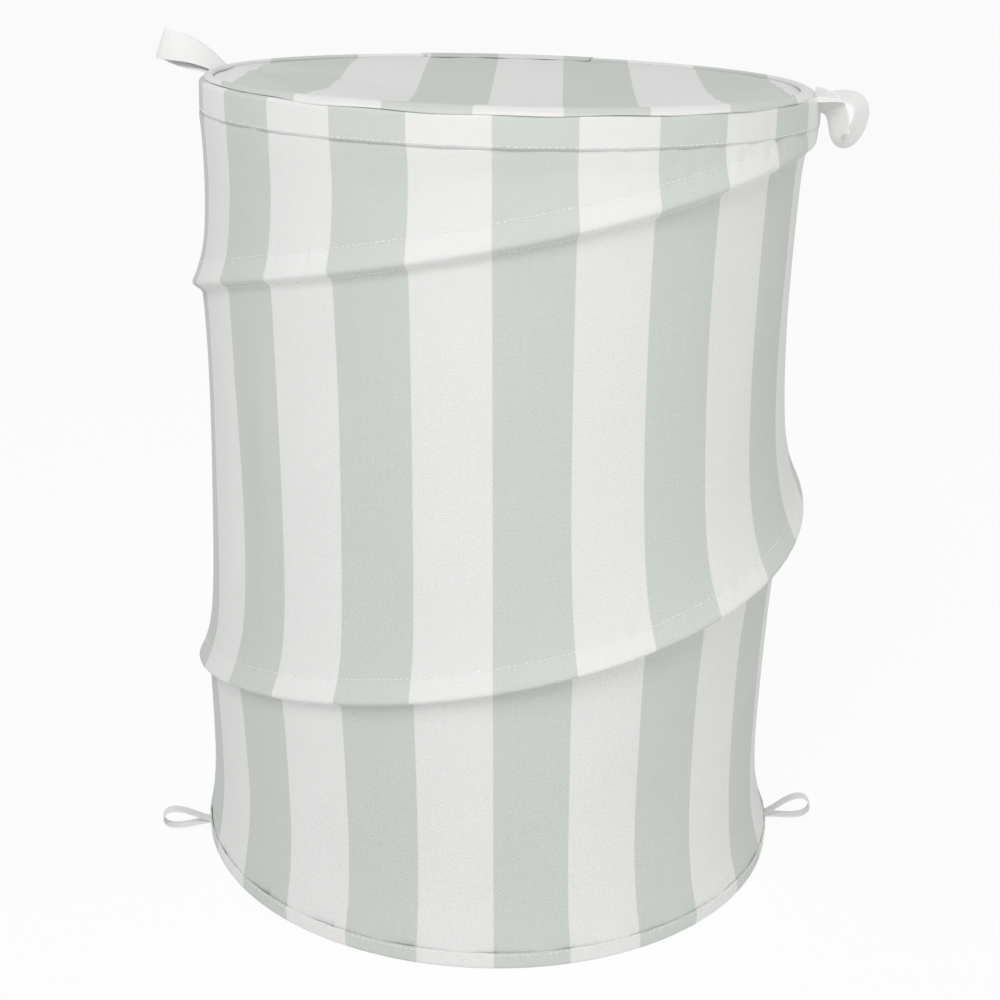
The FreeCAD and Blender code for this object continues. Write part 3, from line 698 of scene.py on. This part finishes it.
def lid_height(x, y):
    """The lid sags as depth (1 - s^2)^1.9, s being the share of the way out to its edge.

    Creases fan out from each handle as cos(7 angle) exp(-distance / reach), a hollow lies
    inside the edge at the left front, and low waves run along the edge and over the middle.
    """
    share = np.clip(np.hypot(x, y) / LID_EDGE, 0, 1)
    angle = np.arctan2(x, -y)
    z = LID_EDGE_Z - LID_SAG * (1 - share ** 2) ** LID_SAG_POWER
    for place, size in zip(HANDLES, FAN_DEPTHS):
        dx = x - LID_EDGE * math.sin(place)
        dy = y + LID_EDGE * math.cos(place)
        away = np.hypot(dx, dy)
        spread = wrapped(np.arctan2(dx, -dy), place + math.pi)
        fade = np.exp(-away / FAN_REACH) * smooth(away / FAN_START)
        z = z + size * np.cos(FAN_FOLDS * spread + 0.6) * fade
    edge = smooth((1 - share) / 0.04)
    hollow = bump(wrapped(angle, math.radians(-60)), 0.33) * bump(share - 0.90, 0.07)
    z = z - LID_HOLLOW * hollow * edge
    z = z + LID_EDGE_WAVE * np.sin(31 * angle) * bump(share - 0.93, 0.05) * edge
    z = z + LID_WAVE * np.sin(26 * x + 9 * y) * np.sin(21 * y - 6 * x + 1) * (1 - share ** 4)
    return z


def lid_cloth():
    """The lid's panel: a disc of rings round one middle point."""
    share = np.linspace(0, 1, 70)[:, None]
    angle = np.linspace(0, TURN, 321)[None]
    x, y = share * LID_EDGE * np.sin(angle), -share * LID_EDGE * np.cos(angle)
    points = np.stack([x, y, lid_height(x, y)], axis=-1)
    weld = np.arange(points.shape[0] * points.shape[1]).reshape(points.shape[:2])
    weld[:, -1] = weld[:, 0]
    weld[0] = weld[0, 0]
    # The lid is drawn as doubled cloth, so it gets none of the single-layer painted shade.
    piece = make_piece("lid_cloth", points, np.stack([x, y], axis=-1), lid_stripe(x, y), weld=weld,
                       doubled=LID_SHADE_LIFT + 0 * x)
    return thicken(piece, CLOTH)


def lid_reach(angle):
    """How far the lid's edge lies out over the rim: out to it all round, held back at the left front."""
    held = bump(wrapped(angle, math.radians(-68)), math.radians(26))
    return RIM_RADIUS + 0.0002 - LID_HELD_BACK * held + 0.0003 * np.sin(19 * angle)


def lid_edge():
    """The lid's edge: cloth turned round the hoop from below, over its crown and out over the rim.

    Round the hoop it is an arc; beyond it, it falls from the crown by a smooth step and ends
    in a short turned-down lip.
    """
    angle = np.linspace(0, TURN, 361)[None]
    around = LID_WIRE + CLOTH + 0.0003
    arc = np.radians(np.linspace(-60, -262, 18))[:, None]
    hoop_r = LID_WIRE_RADIUS + around * np.cos(arc) + 0 * angle
    hoop_z = LID_WIRE_Z + around * np.sin(arc) + 0 * angle
    share = np.linspace(0.06, 1, 16)[:, None]
    reach = lid_reach(angle) - LID_WIRE_RADIUS
    skirt_r = LID_WIRE_RADIUS + reach * np.sin(share * math.pi / 2) ** 0.9
    crown = LID_WIRE_Z + around
    lip = 0.0040 + 0.0006 * np.sin(13 * angle + 0.5) * np.sin(5 * angle)
    out_there = smooth((reach - 0.0045) / 0.002)
    turned_down = out_there * smooth((share - LIP_FROM) / (1 - LIP_FROM))
    skirt_z = crown - LIP_STEP * smooth(share * 1.3) - (lip - LIP_STEP) * turned_down
    radius, height = np.concatenate([hoop_r, skirt_r]), np.concatenate([hoop_z, skirt_z])
    angle = angle + 0 * radius
    points = ring_points(angle, radius, height)
    run = np.concatenate([[0], np.cumsum(np.hypot(np.diff(radius[:, 0]), np.diff(height[:, 0])))])[:, None]
    uv = np.stack([angle * LID_WIRE_RADIUS, run + 0 * angle], axis=-1)
    stripe = lid_stripe(points[..., 0], points[..., 1])
    doubled = np.ones_like(radius)
    return thicken(make_piece("lid_edge_cloth", points, uv, stripe, join_v=True, doubled=doubled), CLOTH)


def through(points, count):
    """A smooth line through a few points: Catmull-Rom cubics, evenly shared."""
    p = np.asarray(points, float)
    p = np.concatenate([2 * p[:1] - p[1:2], p, 2 * p[-1:] - p[-2:-1]])
    place = np.linspace(0, len(p) - 3, count)
    span = np.minimum(place.astype(int), len(p) - 4)
    t = (place - span)[:, None]
    a, b, c, d = p[span], p[span + 1], p[span + 2], p[span + 3]
    square = (2 * a - 5 * b + 4 * c - d) * t ** 2
    cube = (3 * b - a - 3 * c + d) * t ** 3
    return 0.5 * (2 * b + (c - a) * t + square + cube)


def hinge_strip():
    """The cloth hinge: up the back of the rim, round the hinge line and forward onto the lid.

    The outline is points (radius, height) at the back, joined by a smooth line.
    """
    back_y, line_z = HINGE_AXIS[1], HINGE_AXIS[2]
    outside = RIM_RADIUS + 0.0009
    outline = [
        (outside, RIM_SEAM + 0.003),
        (outside, line_z - 0.008),
        (RIM_RADIUS + 0.0010, line_z - 0.003),
        (back_y - 0.0008, line_z),
        (back_y - 0.0030, line_z + 0.0018),
        (back_y - 0.0080, line_z + 0.0024),
        (back_y - 0.0125, line_z + 0.0015),
        (back_y - 0.0165, line_z + 0.0007),
    ]
    profile = through(outline, 40)
    across = np.linspace(-HINGE_WIDTH / 2, HINGE_WIDTH / 2, 61)[:, None]
    angle = math.pi + across / RIM_RADIUS + 0 * profile[None, :, 0]
    radius, height = profile[None, :, 0] + 0 * across, profile[None, :, 1] + 0 * across
    run = np.concatenate([[0], np.cumsum(np.linalg.norm(np.diff(profile, axis=0), axis=1))])[None]
    uv = np.stack([across + 0 * run, run + 0 * across], axis=-1)
    points = ring_points(angle, radius, height)
    piece = make_piece("lid_hinge_strip", points, uv, lid_stripe(points[..., 0], points[..., 1]))
    return thicken(piece, CLOTH)


# ---------------------------------------------------------------------------
# Base
# ---------------------------------------------------------------------------

def base_cloth():
    """The base: a disc that lies on the floor, rippled by two crossing sine waves, flat at its edge."""
    share = np.linspace(0, 1, 50)[:, None]
    angle = np.linspace(0, TURN, 241)[None]
    x, y = share * BASE_RADIUS * np.sin(angle), -share * BASE_RADIUS * np.cos(angle)
    ripple = 1 + 0.6 * np.sin(22 * x + 31 * y) + 0.4 * np.sin(37 * x - 19 * y + 2)
    height = BASE_LOW + BASE_RIPPLE * np.clip(ripple, 0, None) * (1 - share ** 8)
    weld = np.arange(share.size * angle.size).reshape(share.size, angle.size)
    weld[:, -1] = weld[:, 0]
    weld[0] = weld[0, 0]
    piece = make_piece("base_cloth", np.stack([x, y, height], axis=-1), np.stack([x, y], axis=-1), weld=weld)
    return thicken(piece, BASE_CLOTH)


def base_tape():
    """The tape over the base seam: a band just inside the bottom hem.

    It rises by 0.9 mm (1 - (2 s - 1)^4) across its width.
    """
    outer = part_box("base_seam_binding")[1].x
    angle = np.linspace(0, TURN, 301)[None]
    across = np.linspace(0, 1, 13)[:, None]
    radius = outer - 0.0075 + 0.0073 * across + 0 * angle
    height = BASE_TAPE_LOW + 0.0009 * (1 - (2 * across - 1) ** 4) + 0.00015 * np.sin(83 * angle)
    uv = np.stack([radius, angle * outer + 0 * radius], axis=-1)
    points = ring_points(angle + 0 * radius, radius, height)
    return thicken(make_piece("base_seam_tape", points, uv, join_v=True), TAPE_THICK)


# ---------------------------------------------------------------------------
# Tape loops
# ---------------------------------------------------------------------------

LOOP_WIDEST = 0.65                                # near the largest value of sin 2 pi t (1 - cos 2 pi t) / 2
ROOT_SPREAD = 0.6                                 # half the strands' distance at the root, in thicknesses
TAPE_SQUARE = 0.35                                # power that squares off the band's section


def root_point(place, radius, z):
    """Where a loop is sewn on."""
    return ring_points(np.array(place), radius, z)


def tape_frame(place, tilt):
    """Outward, sideways and upward directions at an angle round the body, tilted up from level."""
    level = np.array([math.sin(place), -math.cos(place), 0.0])
    side = np.array([math.cos(place), math.sin(place), 0.0])
    outward = level * math.cos(tilt) + np.array([0.0, 0.0, math.sin(tilt)])
    return outward, side, np.cross(outward, side)


def tape_loop(name, root, place, tilt, reach, opening, width, thickness,
              twist=0.0, lean=(0.0, 0.0), arch=0.0):
    """A tape doubled into a loop, both ends at the root.

    Its middle line runs out by reach (1 - cos 2 pi t) / 2 and opens by opening sin 2 pi t
    (1 - cos 2 pi t) / 1.3, a drop shape. The loop twists about its outward line towards the
    tip, arch lifts its middle, and lean turns the tape's face along each strand. The section
    is a flat rounded band.
    """
    outward, side, upward = tape_frame(place, tilt)
    t = np.linspace(0, 1, 90)
    out = (1 - np.cos(TURN * t)) / 2
    open_by = opening * np.sin(TURN * t) * out / LOOP_WIDEST
    open_by = open_by + ROOT_SPREAD * thickness * np.cos(math.pi * t)
    turned = twist * out ** 1.2
    across_a = side * np.cos(turned)[:, None] - upward * np.sin(turned)[:, None]
    across_b = upward * np.cos(turned)[:, None] + side * np.sin(turned)[:, None]
    path = root + outward * (reach * out)[:, None] + across_b * open_by[:, None]
    path = path + upward * (arch * np.sin(math.pi * out))[:, None]
    along = unit(np.gradient(path, axis=0))
    face = unit(across_a - along * (across_a * along).sum(axis=1, keepdims=True))
    normal = np.cross(along, face)
    leaned = (lean[0] + (lean[1] - lean[0]) * smooth(t))[:, None]
    rolled_face = face * np.cos(leaned) + normal * np.sin(leaned)
    rolled_normal = normal * np.cos(leaned) - face * np.sin(leaned)
    turn = np.linspace(0, TURN, 29)
    flat = np.sign(np.cos(turn)) * np.abs(np.cos(turn)) ** TAPE_SQUARE * width / 2
    thick = np.sin(turn) * thickness / 2
    ring = path[:, None] + rolled_face[:, None] * flat[None, :, None]
    ring = ring + rolled_normal[:, None] * thick[None, :, None]
    first = np.repeat(path[:1, None], turn.size, 1)
    last = np.repeat(path[-1:, None], turn.size, 1)
    points = np.concatenate([first, ring, last])
    weld = np.arange(points.shape[0] * turn.size).reshape(-1, turn.size)
    weld[:, -1] = weld[:, 0]
    weld[0], weld[-1] = weld[0, 0], weld[-1, 0]
    run = np.concatenate([[0], np.cumsum(np.linalg.norm(np.diff(path, axis=0), axis=1))])
    run = np.concatenate([run[:1], run, run[-1:]])[:, None]
    uv = np.stack([flat[None] + 0 * run, run + 0 * flat[None]], axis=-1)
    return make_piece(name, points, uv, weld=weld)

# ---------------------------------------------------------------------------
# Stitch lines
# ---------------------------------------------------------------------------

def circle_stitches(name, radius_of, height, body, collapses=False):
    """A line of stitches round the body at one height."""
    def path(share):
        angle = share * TURN
        return ring_points(angle, radius_of(angle), height + 0 * angle)

    def outward(share):
        return ring_points(share * TURN, 1.0 + 0 * share, 0 * share)
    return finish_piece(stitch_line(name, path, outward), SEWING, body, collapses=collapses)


def coil_stitches(name, offset):
    """A line of stitches beside the coil."""
    def path(share):
        return coil_path(SEWN_FROM + SEWN_TURNS * share, offset, -THREAD * COIL_PROUD)

    def outward(share):
        return ring_points(COIL_START + TURN * (SEWN_FROM + SEWN_TURNS * share), 1.0 + 0 * share, 0 * share)
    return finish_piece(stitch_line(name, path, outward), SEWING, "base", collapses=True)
# ---------------------------------------------------------------------------
# The object
# ---------------------------------------------------------------------------

wall = wall_cloth()
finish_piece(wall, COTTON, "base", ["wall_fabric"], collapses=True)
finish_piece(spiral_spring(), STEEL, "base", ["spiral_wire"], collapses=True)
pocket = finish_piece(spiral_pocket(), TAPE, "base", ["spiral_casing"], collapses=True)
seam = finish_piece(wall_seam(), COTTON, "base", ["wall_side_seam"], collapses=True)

rim_hem = hem_cloth("rim_hem_cloth", RIM_RADIUS, RIM_WIRE_RADIUS, RIM_WIRE_Z, RIM_TOP, RIM_SEAM, pull)
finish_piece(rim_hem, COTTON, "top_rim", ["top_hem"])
floor_hem = hem_cloth("floor_hem_cloth", FLOOR_RADIUS, FLOOR_WIRE_RADIUS, FLOOR_WIRE_Z, 0.0, FLOOR_SEAM,
                      no_pull)
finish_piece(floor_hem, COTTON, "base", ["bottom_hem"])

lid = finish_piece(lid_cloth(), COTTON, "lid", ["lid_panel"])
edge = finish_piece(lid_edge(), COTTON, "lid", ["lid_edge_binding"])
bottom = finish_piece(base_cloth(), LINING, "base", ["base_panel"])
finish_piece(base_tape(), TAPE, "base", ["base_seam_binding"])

hinge = hinge_strip()
hinge.data.materials.append(COTTON)
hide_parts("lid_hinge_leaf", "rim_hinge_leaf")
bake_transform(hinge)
LOOPS = {
    "handle_loop_left": dict(
        root=root_point(HANDLES[0], RIM_RADIUS - 0.0010, RIM_WIRE_Z - 0.002), place=HANDLES[0],
        tilt=math.radians(21), reach=0.051, opening=0.0036, width=0.020, thickness=0.0012,
        twist=math.radians(88), arch=0.002),
    "handle_loop_right": dict(
        root=root_point(HANDLES[1], RIM_RADIUS + 0.0015, RIM_WIRE_Z + 0.002), place=HANDLES[1],
        tilt=math.radians(-46), reach=0.031, opening=0.0082, width=0.020, thickness=0.0012,
        lean=(math.radians(12), math.radians(52)), arch=0.010),
    "base_loop_left": dict(
        root=root_point(math.radians(-78), FLOOR_RADIUS - 0.0010, 0.0085), place=math.radians(-78),
        tilt=math.radians(9), reach=0.034, opening=0.0060, width=0.009, thickness=0.0008),
    "base_loop_right": dict(
        root=root_point(math.radians(86), FLOOR_RADIUS - 0.0010, 0.0085), place=math.radians(86),
        tilt=math.radians(20), reach=0.034, opening=0.0070, width=0.009, thickness=0.0008),
}
for name, facts in LOOPS.items():
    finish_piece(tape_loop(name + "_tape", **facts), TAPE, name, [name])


circle_stitches("rim_stitches", lambda angle: RIM_RADIUS + pull(angle) + THREAD * HEM_PROUD,
                RIM_SEAM + SEAM_INSET, "top_rim")
circle_stitches("floor_stitches", lambda angle: FLOOR_RADIUS + THREAD * HEM_PROUD + 0 * angle,
                FLOOR_SEAM - SEAM_INSET, "base")
coil_stitches("coil_stitches_upper", CASING_ABOVE)
coil_stitches("coil_stitches_lower", -CASING_BELOW)

# The steel rings and their crimped sleeves stay as the frame has them.
for node_name, made in frame["nodes"].items():
    if node_name.endswith("_wire") or node_name.endswith("_ferrule"):
        metal = STEEL if node_name.endswith("_wire") else SLEEVE
        made.data.materials.clear()
        made.data.materials.append(metal)

# ---------------------------------------------------------------------------
# Studio
# ---------------------------------------------------------------------------

FLOOR_HALF = 40.0                                 # half the side of the studio's floor
FLOOR_GLOW = 0.92                                 # share of the floor's brightness that is glow
def studio_floor():
    """A wide pale floor. Seen straight on it glows nearly white; it takes a share of the object's shadow."""
    mesh = bpy.data.meshes.new("studio_floor")
    corners = [(-1, -1, 0), (1, -1, 0), (1, 1, 0), (-1, 1, 0)]
    mesh.from_pydata([(FLOOR_HALF * x, FLOOR_HALF * y, z) for x, y, z in corners], [], [(0, 1, 2, 3)])
    piece = bpy.data.objects.new("studio_floor", mesh)
    bpy.context.scene.collection.objects.link(piece)
    material, tree, output = new_material("matt_white_paper")
    seen = seen_directly(tree)
    paper = add(tree, "BsdfDiffuse", {"Color": colour("#F4F4F4")})
    glow = add(tree, "Emission", {"Color": (1, 1, 1, 1), "Strength": 1.0})
    share = add(tree, "Math", {0: seen, 1: FLOOR_GLOW}, operation="MULTIPLY")
    mixed = add(tree, "MixShader", {0: share.outputs[0], 1: paper.outputs[0], 2: glow.outputs[0]})
    tree.links.new(mixed.outputs[0], output.inputs[0])
    mesh.materials.append(material)


def seen_directly(tree):
    """1 for rays from the camera, a mirror or glass, and 0 for light that falls on the object."""
    path = add(tree, "LightPath")
    either = add(tree, "Math", {0: path.outputs["Is Camera Ray"], 1: path.outputs["Is Glossy Ray"]},
                 operation="MAXIMUM")
    return add(tree, "Math", {0: either.outputs[0], 1: path.outputs["Is Transmission Ray"]},
               operation="MAXIMUM").outputs[0]


def studio_world(level, tint):
    """Even light from all round, and plain white where the backdrop shows."""
    world = bpy.data.worlds.new("studio")
    bpy.context.scene.world = world
    world.use_nodes = True
    tree = world.node_tree
    tree.nodes.clear()
    output = tree.nodes.new("ShaderNodeOutputWorld")
    light = add(tree, "Background", {"Color": colour(tint), "Strength": level})
    white = add(tree, "Background", {"Color": (1, 1, 1, 1), "Strength": 1.0})
    mixed = add(tree, "MixShader", {0: seen_directly(tree), 1: light.outputs[0], 2: white.outputs[0]})
    tree.links.new(mixed.outputs[0], output.inputs[0])


def axes_at(across, above, behind, place):
    """A matrix with these three directions as its axes, at a place."""
    matrix = np.eye(4)
    matrix[:3, :3] = np.stack([across, above, behind], 1)
    matrix[:3, 3] = place
    return Matrix(matrix.tolist())


def soft_lamp(name, place, aim, size, power, tint):
    """A square soft box that faces a point."""
    data = bpy.data.lights.new(name, "AREA")
    data.size, data.energy, data.color = size, power, colour(tint)[:3]
    lamp = bpy.data.objects.new(name, data)
    ahead = unit(np.subtract(aim, place))
    across = unit(np.cross(ahead, (0, 0, 1)))
    above = np.cross(across, ahead)
    lamp.matrix_world = axes_at(across, above, -ahead, place)
    bpy.context.scene.collection.objects.link(lamp)


def studio_camera(back, height, pitch, yaw, roll, lens):
    """A camera on the front centre line that looks down by pitch, turned by yaw and rolled a little."""
    ahead = np.array([math.sin(yaw) * math.cos(pitch), math.cos(yaw) * math.cos(pitch), -math.sin(pitch)])
    level = np.array([math.cos(yaw), -math.sin(yaw), 0.0])
    above = np.cross(level, ahead)
    across = math.cos(roll) * level + math.sin(roll) * above
    above = -math.sin(roll) * level + math.cos(roll) * above
    data = bpy.data.cameras.new("camera")
    data.lens, data.sensor_width = lens, 36.0
    data.clip_start, data.clip_end = 0.05, 100.0
    camera = bpy.data.objects.new("camera", data)
    place = (0.0, -back, height)
    camera.matrix_world = axes_at(across, above, -ahead, place)
    bpy.context.scene.collection.objects.link(camera)
    bpy.context.scene.camera = camera


LAMP_AIM = (0, 0, 0.25)
studio_camera(back=1.0666, height=0.609, pitch=math.radians(19.16), yaw=math.radians(0.14),
              roll=math.radians(1.53), lens=59.3)
studio_floor()
studio_world(level=0.50, tint="#FBFBFB")
soft_lamp("key", place=(-0.6, -1.7, 1.9), aim=LAMP_AIM, size=1.2, power=26.0, tint="#FFFFFF")
soft_lamp("fill", place=(1.7, -1.1, 0.9), aim=LAMP_AIM, size=1.6, power=8.0, tint="#FCFFFB")
bpy.context.scene.view_settings.view_transform = "Standard"
